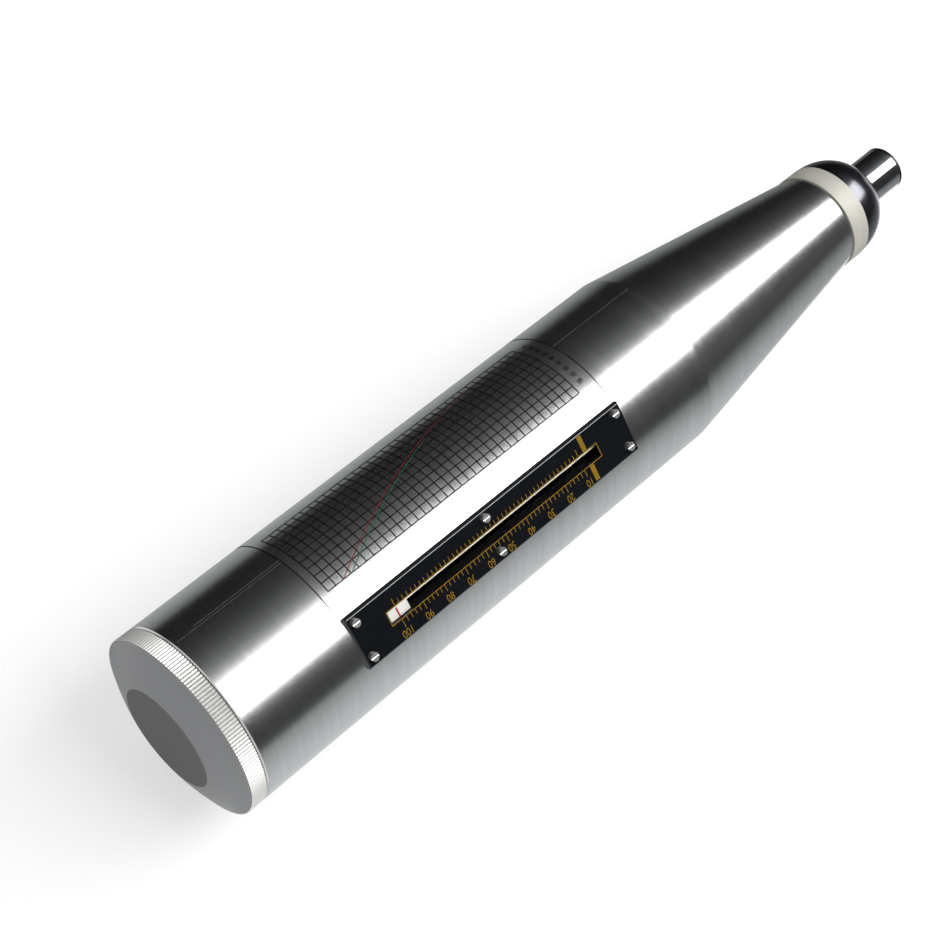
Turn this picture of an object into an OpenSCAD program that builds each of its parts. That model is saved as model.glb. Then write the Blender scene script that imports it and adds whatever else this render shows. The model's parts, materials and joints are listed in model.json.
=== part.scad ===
// Concrete test hammer (rebound hammer): a spring-driven striker inside a tapered metal housing.
// Each piece is drawn with the axis along +Z and the rear cover's flat face on Z = 0.
// There the scale plate faces -Y, the push button faces +Y and the pawl hangs on the +X side.
// The finished hammer lies along +X, on its housing and its push button, with the scale plate up in front.

/* [Housing] */
// Outer diameter of the cylindrical housing
body_d = 54; // [50:0.5:64]
// Wall of the cylindrical housing
body_wall = 4.2; // [3.6:0.1:4.6]
// Length of the cylinder, from the rear seam to the taper
body_len = 167; // [164:1:190]
// Length of the taper
taper_len = 79.4; // [76:0.2:90]
// Outer diameter where the taper ends
nose_d = 31.4; // [31:0.2:36]
// Bore of the nose, which holds the spring seat and the sleeve
nose_bore_d = 24.8; // [24.6:0.1:25.2]
// Diameter of the thread that carries the nose cap
nose_thread_d = 28.8; // [28.2:0.1:29.2]
// Length of that thread
nose_thread_len = 5.5; // [4.5:0.1:6]
// Rounded lip at the end of the taper
nose_lip = 0.7; // [0.4:0.1:1.2]

/* [Rear cover] */
// Diameter of the flat face in the middle of the dome
cover_flat_d = 30.2; // [26:0.2:38]
// Height of the dome from the flat face to the knurled rim
dome_h = 4.2; // [3:0.2:7]
// Width of the knurled rim
rim_w = 4.8; // [3.5:0.1:6]
// Number of teeth in the knurl
knurl_count = 176; // [120:2:200]
// Depth of a knurl tooth
knurl_depth = 0.35; // [0.2:0.05:0.5]
// Floor of the cover in front of the rim, which the pressure spring stands on
cover_floor = 2.4; // [1.5:0.1:3]
// Length of the threaded spigot inside the housing
spigot_len = 8; // [6:0.5:12]
// Wall of that spigot
spigot_wall = 3; // [2:0.1:3.4]

/* [Nose cap] */
// Width of the fine-knurled band
cap_band_w = 6.8; // [6:0.1:8]
// Outer diameter of the band
cap_band_d = 31.8; // [31.4:0.2:36]
// Height of the dome in front of the band
cap_dome_h = 14.4; // [12:0.2:16]
// Thickness of the felt washer
felt_t = 4; // [2:0.2:5]
// Outer diameter of the felt washer
felt_d = 22; // [19:0.5:24]

/* [Scale] */
// Width of the scale plate
plate_w = 15.2; // [14.6:0.1:17]
// Thickness of the scale plate
plate_t = 1.6; // [1.4:0.1:2]
// Distance from the housing's rear end to the plate
plate_start = 35.8; // [34:0.2:44]
// Bevel along the plate's upper edges
plate_bevel = 0.35; // [0.2:0.05:0.5]
// Width of the window in the plate
slot_w = 3.6; // [3.2:0.1:4.2]
// Length of the window past the mark for the lowest reading
slot_spare = 6.6; // [6:0.1:8]
// Distance from the plate's rear end to the window
slot_start = 11.1; // [9.9:0.1:12]
// Distance from the window to the plate's front end
plate_tail = 12.1; // [10:0.1:16]
// Distance from the plate's rear end to the mark for a reading of 100
mark_start = 14; // [13.4:0.1:14.8]
// Travel that equals one unit of the scale
unit_len = 0.75; // [0.7:0.01:0.76]
// Units from the mark for a reading of 100 to the lowest numbered mark
unit_count = 90; // [80:1:90]
// Distance between the two rows of plate screws
screw_row_w = 10.4; // [10:0.1:11.4]
// Distance from the plate's ends to the end screws
screw_end = 2.4; // [2:0.1:3.5]
// Distance from the plate's middle back to the middle screws
screw_mid_back = 1.9; // [0:0.1:4]
// Diameter of a plate screw's head
screw_head_d = 2.4; // [2:0.1:2.8]
// Diameter of a plate screw's shank
screw_d = 1.4; // [1:0.1:1.6]

/* [Pointer] */
// Diameter of the pointer's guide rod
pointer_rod_d = 3; // [2.6:0.1:3.2]
// Distance from the housing's bore wall to the centre of that rod
pointer_rod_in = 2.3; // [2:0.1:2.6]
// Length of the pointer block behind its line
block_back = 3.9; // [3.6:0.1:4]
// Length of the pointer block in front of its line
block_front = 3.7; // [3.2:0.1:4.4]
// Thickness of the pointer's leaf
leaf_t = 0.6; // [0.4:0.1:1]

/* [Striker] */
// Stroke of the hammer mass
stroke = 75; // [70:1:76]
// Room between the hammer mass and the housing's bore, which the pointer's leaf bridges
hammer_room = 8; // [7.8:0.1:8.6]
// Length of the hammer mass
hammer_len = 57; // [52:1:58]
// Diameter of the front neck, which carries the impact spring
neck_d = 17.6; // [17.2:0.1:18]
// Length of that neck
neck_len = 12; // [10:0.5:16]
// Step from the hammer mass down to the collar that the pawl holds
collar_step = 3.4; // [3.2:0.1:4]
// Length of that collar
collar_len = 4; // [3:0.2:5]
// Depth of the groove behind the collar
groove_depth = 2.2; // [2:0.1:2.4]
// Length of that groove
groove_len = 6; // [5:0.2:7]
// Diameter of the plunger
plunger_d = 14.2; // [13.6:0.1:14.6]
// Length of the plunger that stands out of the cap
plunger_out = 14; // [10:0.2:20]
// Radius of the plunger's striking tip
tip_r = 25; // [20:1:40]
// Diameter of the centre guide rod
rod_d = 8; // [7:0.1:8.6]
// Depth of the guide rod in the plunger
rod_in_plunger = 15; // [10:0.5:18]

/* [Carriage] */
// Thickness of the guide disk
disk_len = 14; // [13.6:0.2:16]
// Length of the pressure spring with the plunger locked in
pressure_len = 21; // [20:0.5:24]
// Thickness of the pawl
pawl_w = 5.4; // [4:0.1:6]
// Distance from the hammer's collar out to the pawl's pin
pawl_pin_out = 1.8; // [1.4:0.1:2.2]
// Diameter of the pawl's pin
pawl_pin_d = 3; // [2.6:0.1:3.4]
// Diameter of the trip screw
trip_d = 6; // [5:0.2:6.6]

/* [Springs] */
// Diameter of the impact spring's wire
impact_wire_d = 2.2; // [1.6:0.1:2.4]
// Turns of the impact spring
impact_turns = 18; // [12:1:20]
// Diameter of the pressure spring's wire
pressure_wire_d = 2.4; // [1.6:0.1:2.6]
// Step from the hammer mass's outside in to the pressure spring, which passes under the pointer's leaf
pressure_in = 0.3; // [0.2:0.1:1]
// Turns of the pressure spring with the plunger locked in
pressure_turns = 5; // [3:1:6]

/* [Push button] */
// Diameter of the button
button_d = 9.6; // [8:0.2:10]
// Height of the button above its collar
button_out = 4; // [3.6:0.2:6]
// Travel of the button
button_travel = 3; // [2.6:0.1:3]
// Diameter of the button's stem
stem_d = 3.6; // [3:0.1:3.8]
// Diameter of the collar around the button
collar_out_d = 15; // [13.6:0.2:17]
// Height of that collar above the housing
collar_out_h = 2.6; // [2:0.1:3.4]

/* [Hidden] */
$fn = 96;

// Clearances and small sizes
overrun = 1;
fit_gap = 0.05;
run_gap = 0.1;
slide_gap = 0.2;
clear_gap = 0.35;
seam_gap = 0.2;
edge_chamfer = 0.5;
rim_chamfer = 0.4;

// Housing
body_r = body_d / 2;
bore_r = body_r - body_wall;
nose_r = nose_d / 2;
nose_bore_r = nose_bore_d / 2;
nose_thread_r = nose_thread_d / 2;
rim_z = dome_h;
seam_z = rim_z + rim_w;
body_z = seam_z + seam_gap;
taper_z = body_z + body_len;
nose_z = taper_z + taper_len;
thread_z = nose_z + nose_thread_len;
bore_cone_back = 8;
bore_cone_z = taper_z - bore_cone_back;
nose_bore_len = 18;
nose_bore_z = nose_z - nose_bore_len;

// Rear cover and trip screw
cover_flat_r = cover_flat_d / 2;
rim_edge_r = body_r - rim_chamfer;
dome_centre_z = (rim_edge_r * rim_edge_r + dome_h * dome_h - cover_flat_r * cover_flat_r) / (2 * dome_h);
dome_r = norm([cover_flat_r, dome_centre_z]);
floor_z = seam_z + cover_floor;
spigot_z = floor_z + spigot_len;
spigot_r = bore_r - fit_gap;
trip_r = trip_d / 2;
trip_depth = 7;
nut_flats = 10;
nut_t = 5;
nut_z = floor_z;

// Carriage: guide disk, rod and pawl
disk_z = floor_z + pressure_len;
disk_front = disk_z + disk_len;
disk_r = bore_r - slide_gap;
rod_r = rod_d / 2;
hammer_r = bore_r - hammer_room;
collar_r = hammer_r - collar_step;
groove_r = collar_r - groove_depth;
pawl_tail_t = 3;
pawl_tail_back = 2.2;
pawl_tail_in = 3;
pawl_tail_room = 1;
pawl_swing = 8;
pawl_pin_r = pawl_pin_d / 2;
pawl_pin_x = collar_r + pawl_pin_out;
pawl_pin_z = disk_z + disk_len / 2;
pawl_boss_r = 4;
pawl_arm_gap = 1.4;
pawl_arm_in = collar_r + pawl_arm_gap;
pawl_arm_t = 3.4;
pawl_arm_out = pawl_arm_in + pawl_arm_t;
pawl_slot_w = pawl_w + 2 * slide_gap;
pawl_slot_side = 2.6;
pawl_slot_out = pawl_arm_out + pawl_slot_side;
pawl_tail_z = disk_z + pawl_tail_back;
pawl_pocket_z = pawl_tail_z + pawl_tail_t + (pawl_pin_x + pawl_tail_in) * sin(pawl_swing) + clear_gap;
rod_z = pawl_pocket_z + clear_gap;
trip_tip_z = pawl_tail_z - clear_gap;
pawl_pin_len = 16;

// Striker
hammer_gap = 2;
cocked_z = disk_front + hammer_gap;
hammer_z = cocked_z + stroke;
strike_z = hammer_z + hammer_len;
lip_gap = 0.5;
lip_t = 3;
lip_z = cocked_z + collar_len + lip_gap;
lip_r = groove_r + lip_gap;
plunger_r = plunger_d / 2;
rod_end_z = strike_z + rod_in_plunger;
buffer_len = 9;
buffer_wire_d = 1;
buffer_turns = 5;
plunger_bore_r = rod_r + run_gap;
plunger_bore_end = rod_end_z + buffer_len + 2 * fit_gap;

// Nose stack
cap_band_r = cap_band_d / 2;
cap_z = nose_z + seam_gap;
cap_band_end = cap_z + cap_band_w;
cap_mouth_gap = 0.25;
cap_mouth_r = plunger_r + cap_mouth_gap;
cap_front_land = 0.4;
cap_front_r = cap_mouth_r + cap_front_land;
cap_edge = 0.15;
cap_shoulder_r = cap_band_r - cap_edge;
cap_front = cap_band_end + cap_dome_h;
cap_centre_up = (cap_dome_h * cap_dome_h + cap_front_r * cap_front_r - cap_shoulder_r * cap_shoulder_r)
    / (2 * cap_dome_h);
cap_centre_z = cap_band_end + cap_centre_up;
cap_dome_r = norm([cap_shoulder_r, cap_centre_up]);
cap_floor_z = thread_z + seam_gap;
felt_r = felt_d / 2;
split_t = 3.4;
split_wall = 4;
split_gap = 0.8;
split_z = thread_z - split_t;
seat_flange_t = 5;
seat_boss_len = 11;
seat_gap_r = 0.4;
seat_start = 1;
seat_z = nose_bore_z + seat_start;
sleeve_z = seat_z + seat_flange_t;
plunger_end = cap_front + plunger_out;
tip_h = tip_r - sqrt(tip_r * tip_r - plunger_r * plunger_r);

// Springs
spring_sides = 6;
spring_rings = 8;
spring_gap_least = 0.4;
neck_r = neck_d / 2;
impact_r = (neck_r + run_gap) / cos(180 / spring_rings) + impact_wire_d / 2;
impact_z = strike_z - neck_len + run_gap + impact_wire_d / 2;
impact_end = seat_z - run_gap - impact_wire_d / 2;
pressure_r = hammer_r - pressure_in - pressure_wire_d / 2;
pressure_z = floor_z + run_gap + pressure_wire_d / 2;
pressure_end = disk_z - run_gap - pressure_wire_d / 2;

// Scale, window and pointer
plate_z = body_z + plate_start;
flat_y = sqrt(body_r * body_r - plate_w * plate_w / 4);
plate_top = flat_y + plate_t;
slot_z = plate_z + slot_start;
slot_len = mark_start - slot_start + unit_count * unit_len + slot_spare;
plate_len = slot_start + slot_len + plate_tail;
window_t = 1.05;
window_edge = 1.1;
window_w = slot_w + 2 * window_edge;
window_len = slot_len + 2 * window_edge;
wall_slot_side = 0.3;
wall_slot_w = slot_w + 2 * wall_slot_side;
mark_z = plate_z + mark_start;
pointer_z = mark_z + unit_len;
block_z = pointer_z - block_back;
block_end = pointer_z + block_front;
rod_y = bore_r - pointer_rod_in;
pointer_rod_r = pointer_rod_d / 2;
block_w = wall_slot_w - 2 * wall_slot_side - slide_gap;
block_foot_w = 5.6;
block_top = flat_y - slide_gap;
block_shoulder_gap = 0.5;
block_shoulder = bore_r - block_shoulder_gap;
block_wall = 1;
block_foot = rod_y - pointer_rod_r - block_wall;
lug_w = 6;
lug_t = 3.5;
lug_wall = 0.9;
lug_foot = rod_y - pointer_rod_r - lug_wall;
lug_z = slot_z - 2 * lug_t;
lug_front_z = slot_z + slot_len + lug_t;
leaf_foot = hammer_r + clear_gap;
notch_w = lug_w + 2 * edge_chamfer;
notch_foot = hammer_r - edge_chamfer;

// Plate screws
screw_head_h = 0.75;
screw_deep = 2.4;
screw_head_r = screw_head_d / 2;
screw_r = screw_d / 2;
screw_slot_w = 0.35;
screw_slot_h = 0.3;
screw_zs = [plate_z + screw_end, plate_z + plate_len / 2 - screw_mid_back, plate_z + plate_len - screw_end];

// Push button
button_r = button_d / 2;
button_z = pawl_pin_z;
stem_r = stem_d / 2;
lock_w = stem_d + 2 * slide_gap;
bush_wall = 1.2;
bush_r = button_r + bush_wall;
bush_floor_t = 1;
bush_y = bore_r + slide_gap;
bush_floor = bush_y + bush_floor_t;
bush_top = body_r + collar_out_h;
collar_out_r = collar_out_d / 2;
collar_seat_y = sqrt(body_r * body_r - collar_out_r * collar_out_r);
button_y = bush_top - slide_gap;
button_top = bush_top + button_out;
stem_tip = bore_r + slide_gap / 2;
lock_foot = stem_tip - button_travel - clear_gap;
button_wire_d = 0.7;
button_turns = 2.5;
button_spring_gap = 0.4;
button_spring_r = stem_r + button_spring_gap + button_wire_d / 2;
pawl_wire_d = 0.5;
pawl_turns = 2;
pawl_spring_r = 1.3;

// How the hammer lies: the lift of the scale plate at which the button's edge touches the ground
overall_len = plunger_end + tip_h;
button_edge_r = button_r - edge_chamfer;
plate_lift = asin(body_r / norm([button_top, button_edge_r])) - atan(button_edge_r / button_top);

// Lay a piece down, from its drawing position to where it lies
module place() {
    translate([-overall_len / 2, 0, body_r])
        rotate([-plate_lift, 0, 0])
            rotate([0, 90, 0])
                children();
}

// The centre line of a coil, one point a ring, from the origin up to a height
function coil_line(mean_r, turns, height) = [
    for (i = [0 : turns * spring_rings])
        let (a = 360 * i / spring_rings)
        [mean_r * cos(a), mean_r * sin(a), height * i / (turns * spring_rings)]
];

// Least room between neighbouring turns, measured on the centre line's points
function coil_gap(line, wire_d) =
    min([for (i = [0 : len(line) - 1 - spring_rings]) norm(line[i + spring_rings] - line[i])]) - wire_d;

// A coil spring as one closed tube around its centre line
module coil(name, mean_r, wire_d, turns, height) {
    line = coil_line(mean_r, turns, height);
    count = len(line);
    echo(name, least_gap = coil_gap(line, wire_d), wanted_over = spring_gap_least);
    points = [
        for (i = [0 : count - 1], s = [0 : spring_sides - 1])
            let (a = 360 * i / spring_rings, b = 360 * s / spring_sides)
            line[i] + wire_d / 2 * [cos(b) * cos(a), cos(b) * sin(a), sin(b)]
    ];
    sides = [
        for (i = [0 : count - 2], s = [0 : spring_sides - 1], half = [0, 1])
            let (
                low = i * spring_sides,
                high = low + spring_sides,
                next = (s + 1) % spring_sides
            )
            half == 0 ? [low + s, high + s, high + next] : [low + s, high + next, low + next]
    ];
    start = [for (s = [1 : spring_sides - 2]) [0, s, s + 1]];
    last = (count - 1) * spring_sides;
    end = [for (s = [1 : spring_sides - 2]) [last, last + s + 1, last + s]];
    polyhedron(points, concat(sides, start, end));
}

// A ring or disk around the axis between two heights
module band(r_out, r_in, z0, z1) {
    rotate_extrude()
        polygon([[r_in, z0], [r_out, z0], [r_out, z1], [r_in, z1]]);
}

// A block on the scale's side: its width, its depths from the axis and its heights
module scale_box(w, y_in, y_out, z0, z1) {
    translate([-w / 2, -y_out, z0])
        cube([w, y_out - y_in, z1 - z0]);
}

// A round bar on the scale's side, pointing at the axis
module scale_bar(r, x, y_in, y_out, z) {
    translate([x, -y_in, z])
        rotate([90, 0, 0])
            cylinder(r = r, h = y_out - y_in);
}

// A round bar on the button's side, pointing away from the axis
module button_bar(r, y_in, y_out) {
    translate([0, y_in, button_z])
        rotate([-90, 0, 0])
            cylinder(r = r, h = y_out - y_in);
}

// Straight teeth around a rim
module knurl(r, depth, count, height) {
    linear_extrude(height = height)
        polygon([
            for (i = [0 : 2 * count - 1])
                let (a = 180 * i / count, tooth_r = r - depth * (i % 2))
                tooth_r * [cos(a), sin(a)]
        ]);
}

// The six places of the plate screws
module at_screws() {
    for (z = screw_zs, side = [-1, 1])
        translate([side * screw_row_w / 2, 0, z])
            children();
}

module housing_shell() {
    rotate_extrude()
        polygon([
            [bore_r, body_z],
            [body_r - edge_chamfer, body_z],
            [body_r, body_z + edge_chamfer],
            [body_r, taper_z],
            [nose_r, nose_z - nose_lip],
            [nose_r - nose_lip, nose_z],
            [nose_thread_r, nose_z],
            [nose_thread_r, thread_z],
            [nose_bore_r, thread_z],
            [nose_bore_r, nose_bore_z],
            [bore_r, bore_cone_z]
        ]);
}

module housing() {
    color("lightsteelblue")
    difference() {
        union() {
            housing_shell();
            for (z = [lug_z, lug_front_z])
                scale_box(lug_w, lug_foot, bore_r + body_wall / 2, z, z + lug_t);
        }
        scale_box(body_d, flat_y, body_r + overrun, plate_z - fit_gap, plate_z + plate_len + fit_gap);
        scale_box(wall_slot_w, bore_r - overrun, body_r, slot_z - window_edge / 2,
            slot_z + slot_len + window_edge / 2);
        translate([0, -rod_y, lug_z - overrun])
            cylinder(r = pointer_rod_r + fit_gap, h = lug_front_z + lug_t - lug_z + 2 * overrun);
        at_screws()
            scale_bar(screw_r + fit_gap, 0, flat_y - screw_deep - fit_gap, body_r, 0);
        button_bar(bush_r + fit_gap, bore_r - overrun, body_r + overrun);
        button_bar(collar_out_r + fit_gap, collar_seat_y, body_r + overrun);
    }
}

module rear_cover() {
    color("gainsboro") {
        difference() {
            union() {
                rotate_extrude()
                    intersection() {
                        translate([0, dome_centre_z])
                            circle(r = dome_r, $fn = 256);
                        square([rim_edge_r, seam_z]);
                    }
                band(spigot_r, 0, seam_z - rim_chamfer, spigot_z);
                translate([0, 0, rim_z])
                    knurl(body_r, knurl_depth, knurl_count, rim_w);
            }
            band(spigot_r - spigot_wall, 0, floor_z, spigot_z + overrun);
            translate([0, 0, floor_z - trip_depth])
                cylinder(r = trip_r + fit_gap, h = trip_depth + overrun);
        }
    }
}

module trip_screw() {
    color("dimgray")
    rotate_extrude()
        polygon([
            [0, floor_z - trip_depth + fit_gap],
            [trip_r, floor_z - trip_depth + fit_gap],
            [trip_r, trip_tip_z - trip_r],
            [trip_r / 2, trip_tip_z],
            [0, trip_tip_z]
        ]);
}

module lock_nut() {
    color("silver")
    translate([0, 0, nut_z])
        difference() {
            cylinder(d = nut_flats / cos(30), h = nut_t, $fn = 6);
            translate([0, 0, -overrun])
                cylinder(r = trip_r + fit_gap, h = nut_t + 2 * overrun);
        }
}

module nose_cap() {
    color("whitesmoke")
    difference() {
        union() {
            band(cap_band_r, 0, cap_z, cap_band_end);
            rotate_extrude()
                intersection() {
                    translate([0, cap_centre_z])
                        circle(r = cap_dome_r, $fn = 256);
                    translate([0, cap_band_end])
                        square([cap_band_r, cap_dome_h]);
                }
        }
        band(nose_thread_r + fit_gap, 0, cap_z - overrun, cap_floor_z);
        band(felt_r + fit_gap, 0, cap_floor_z - overrun, cap_floor_z + felt_t + fit_gap);
        band(cap_mouth_r, 0, cap_floor_z, cap_front + overrun);
    }
}

module felt_washer() {
    color("dimgray")
    band(felt_r, plunger_r + slide_gap, cap_floor_z, cap_floor_z + felt_t);
}

module split_ring() {
    color("slategray")
    difference() {
        band(nose_bore_r - fit_gap, nose_bore_r - fit_gap - split_wall, split_z, thread_z);
        translate([-nose_bore_r, -split_gap / 2, split_z - overrun])
            cube([nose_bore_d, split_gap, split_t + 2 * overrun]);
    }
}

module nose_sleeve() {
    color("goldenrod")
    band(nose_bore_r - fit_gap, plunger_r + run_gap, sleeve_z, split_z);
}

module spring_seat() {
    color("lightslategray")
    rotate_extrude()
        polygon([
            [plunger_r + seat_gap_r, seat_z - seat_boss_len],
            [neck_r, seat_z - seat_boss_len],
            [neck_r, seat_z],
            [nose_bore_r - fit_gap, seat_z],
            [nose_bore_r - fit_gap, sleeve_z],
            [plunger_r + seat_gap_r, sleeve_z]
        ]);
}

module scale_plate() {
    color("black")
    difference() {
        translate([0, -flat_y, plate_z])
            rotate([90, 0, 0])
                plate_blank();
        scale_box(slot_w, flat_y - overrun, plate_top + overrun, slot_z, slot_z + slot_len);
        scale_box(window_w, flat_y - overrun, flat_y + window_t + fit_gap, slot_z - window_edge,
            slot_z + slot_len + window_edge);
        at_screws()
            scale_bar(screw_r + fit_gap, 0, flat_y - overrun, plate_top + overrun, 0);
    }
}

// The plate before its window is cut, lying on its back with bevelled edges
module plate_blank() {
    intersection() {
        linear_extrude(height = plate_t)
            translate([-plate_w / 2, 0])
                square([plate_w, plate_len]);
        translate([0, plate_len + overrun, 0])
            rotate([90, 0, 0])
                linear_extrude(height = plate_len + 2 * overrun)
                    bevelled(plate_w);
        translate([-plate_w, plate_len / 2, 0])
            rotate([90, 0, 90])
                linear_extrude(height = 2 * plate_w)
                    bevelled(plate_len);
    }
}

// The plate's section across one direction
module bevelled(w) {
    polygon([
        [-w / 2, 0],
        [w / 2, 0],
        [w / 2, plate_t - plate_bevel],
        [w / 2 - plate_bevel, plate_t],
        [plate_bevel - w / 2, plate_t],
        [-w / 2, plate_t - plate_bevel]
    ]);
}

module scale_window() {
    color("lightcyan", 0.5)
    scale_box(window_w - 2 * fit_gap, flat_y, flat_y + window_t, slot_z - window_edge + fit_gap,
        slot_z + slot_len + window_edge - fit_gap);
}

module plate_screws() {
    color("silver")
    at_screws()
        difference() {
            union() {
                scale_bar(screw_r, 0, flat_y - screw_deep, plate_top + screw_head_h / 2, 0);
                scale_bar(screw_head_r, 0, plate_top, plate_top + screw_head_h, 0);
            }
            scale_box(screw_slot_w, plate_top + screw_head_h - screw_slot_h,
                plate_top + screw_head_h + overrun, -screw_head_d, screw_head_d);
        }
}

module pointer_rod() {
    color("silver")
    translate([0, -rod_y, lug_z])
        cylinder(r = pointer_rod_r, h = lug_front_z + lug_t - lug_z);
}

module pointer_block() {
    color("white")
    difference() {
        union() {
            scale_box(block_w, rod_y, block_top, block_z, block_end);
            scale_box(block_foot_w, block_foot, block_shoulder, block_z, block_end);
        }
        translate([0, -rod_y, block_z - overrun])
            cylinder(r = pointer_rod_r + run_gap, h = block_end - block_z + 2 * overrun);
    }
}

module pointer_leaf() {
    color("lightgray")
    translate([0, 0, block_end])
        difference() {
            scale_box(block_foot_w, leaf_foot, block_shoulder, 0, leaf_t);
            translate([0, -rod_y, -overrun])
                cylinder(r = pointer_rod_r + slide_gap, h = leaf_t + 2 * overrun);
        }
}

module button_bush() {
    color("silver")
    difference() {
        union() {
            button_bar(bush_r, bush_y, bush_top);
            button_bar(collar_out_r, collar_seat_y + fit_gap, bush_top);
        }
        button_bar(button_r + run_gap, bush_floor, bush_top + overrun);
        button_bar(stem_r + run_gap, bush_y - overrun, bush_floor + overrun);
    }
}

module push_button() {
    color("dimgray") {
        button_bar(button_r, button_y, button_top - edge_chamfer);
        translate([0, button_top - edge_chamfer, button_z])
            rotate([-90, 0, 0])
                cylinder(r1 = button_r, r2 = button_r - edge_chamfer, h = edge_chamfer);
        button_bar(stem_r, stem_tip, button_y + edge_chamfer);
    }
}

module button_spring() {
    color("gray")
    translate([0, bush_floor + fit_gap + button_wire_d / 2, button_z])
        rotate([-90, 0, 0])
            coil("button_spring", button_spring_r, button_wire_d, button_turns,
                button_y - bush_floor - 2 * fit_gap - button_wire_d);
}

module hammer_mass() {
    color("slategray")
    rotate_extrude()
        polygon([
            [rod_r + run_gap, hammer_z],
            [collar_r - edge_chamfer, hammer_z],
            [collar_r, hammer_z + edge_chamfer],
            [collar_r, hammer_z + collar_len],
            [groove_r, hammer_z + collar_len],
            [groove_r, hammer_z + collar_len + groove_len],
            [hammer_r - edge_chamfer, hammer_z + collar_len + groove_len],
            [hammer_r, hammer_z + collar_len + groove_len + edge_chamfer],
            [hammer_r, strike_z - neck_len - edge_chamfer],
            [hammer_r - edge_chamfer, strike_z - neck_len],
            [neck_r, strike_z - neck_len],
            [neck_r, strike_z - fit_gap],
            [rod_r + run_gap, strike_z - fit_gap]
        ]);
}

module impact_spring() {
    color("gray")
    translate([0, 0, impact_z])
        coil("impact_spring", impact_r, impact_wire_d, impact_turns, impact_end - impact_z);
}

module plunger() {
    color("lightgray")
    difference() {
        union() {
            band(plunger_r, 0, strike_z, plunger_end);
            rotate_extrude()
                intersection() {
                    translate([0, plunger_end + tip_h - tip_r])
                        circle(r = tip_r, $fn = 256);
                    translate([0, plunger_end])
                        square([plunger_r, 2 * tip_h]);
                }
        }
        translate([0, 0, strike_z - overrun])
            cylinder(r = plunger_bore_r, h = plunger_bore_end - strike_z + overrun);
    }
}

module buffer_spring() {
    color("gray")
    translate([0, 0, rod_end_z + fit_gap + buffer_wire_d / 2])
        coil("buffer_spring", plunger_bore_r - fit_gap - buffer_wire_d / 2, buffer_wire_d, buffer_turns,
            buffer_len - buffer_wire_d);
}

module guide_rod() {
    color("silver")
    translate([0, 0, rod_z])
        cylinder(r = rod_r, h = rod_end_z - rod_z);
}

module guide_disk() {
    color("darkgray")
    difference() {
        band(disk_r, 0, disk_z, disk_front);
        translate([0, 0, rod_z])
            cylinder(r = rod_r + fit_gap, h = disk_len);
        translate([-pawl_tail_in - pawl_tail_room, -pawl_slot_w / 2, disk_z - overrun])
            cube([pawl_slot_out + pawl_tail_in + pawl_tail_room, pawl_slot_w, pawl_pocket_z - disk_z + overrun]);
        translate([pawl_pin_x - pawl_boss_r - edge_chamfer, -pawl_slot_w / 2, disk_z - overrun])
            cube([pawl_slot_out - pawl_pin_x + pawl_boss_r + edge_chamfer, pawl_slot_w, disk_len + 2 * overrun]);
        translate([pawl_pin_x, pawl_pin_len / 2, pawl_pin_z])
            rotate([90, 0, 0])
                cylinder(r = pawl_pin_r + fit_gap, h = pawl_pin_len);
        band(disk_r + overrun, lock_foot, button_z - lock_w / 2, button_z + lock_w / 2);
        scale_box(notch_w, notch_foot, disk_r + overrun, disk_z - overrun, disk_front + overrun);
    }
}

module pressure_spring() {
    color("gray")
    translate([0, 0, pressure_z])
        coil("pressure_spring", pressure_r, pressure_wire_d, pressure_turns, pressure_end - pressure_z);
}

// The pawl's outline in its own plane, as distance from the axis and height
module pawl_outline() {
    union() {
        polygon([
            [-pawl_tail_in, pawl_tail_z],
            [pawl_pin_x, pawl_tail_z],
            [pawl_pin_x + pawl_boss_r / 2, pawl_pin_z],
            [pawl_pin_x, pawl_pin_z],
            [pawl_pin_x - pawl_boss_r, pawl_tail_z + pawl_tail_t],
            [-pawl_tail_in, pawl_tail_z + pawl_tail_t]
        ]);
        translate([pawl_pin_x, pawl_pin_z])
            circle(r = pawl_boss_r);
        polygon([
            [pawl_arm_in, pawl_pin_z],
            [pawl_arm_out, pawl_pin_z],
            [pawl_arm_out, lip_z + lip_t - edge_chamfer],
            [pawl_arm_out - edge_chamfer, lip_z + lip_t],
            [lip_r + lip_t / 2, lip_z + lip_t],
            [lip_r, lip_z + lip_t / 2],
            [lip_r, lip_z],
            [pawl_arm_in, lip_z]
        ]);
    }
}

module pawl() {
    color("peru")
    translate([0, pawl_w / 2, 0])
        rotate([90, 0, 0])
            linear_extrude(height = pawl_w)
                difference() {
                    pawl_outline();
                    translate([pawl_pin_x, pawl_pin_z])
                        circle(r = pawl_pin_r + run_gap);
                }
}

module pawl_pin() {
    color("silver")
    translate([pawl_pin_x, pawl_pin_len / 2 - fit_gap, pawl_pin_z])
        rotate([90, 0, 0])
            cylinder(r = pawl_pin_r, h = pawl_pin_len - 2 * fit_gap);
}

module pawl_spring() {
    color("gray")
    translate([pawl_arm_out + fit_gap + pawl_wire_d / 2, 0, disk_front - pawl_spring_r - 2 * pawl_wire_d])
        rotate([0, 90, 0])
            coil("pawl_spring", pawl_spring_r, pawl_wire_d, pawl_turns,
                pawl_slot_side - 2 * fit_gap - pawl_wire_d);
}

place() housing();
place() rear_cover();
place() trip_screw();
place() lock_nut();
place() nose_cap();
place() felt_washer();
place() split_ring();
place() nose_sleeve();
place() spring_seat();
place() scale_plate();
place() scale_window();
place() plate_screws();
place() pointer_rod();
place() pointer_block();
place() pointer_leaf();
place() button_bush();
place() push_button();
place() button_spring();
place() hammer_mass();
place() impact_spring();
place() plunger();
place() buffer_spring();
place() guide_rod();
place() guide_disk();
place() pressure_spring();
place() pawl();
place() pawl_pin();
place() pawl_spring();
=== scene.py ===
import json
import math

import bmesh
import bpy
from mathutils import Matrix, Vector


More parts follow.
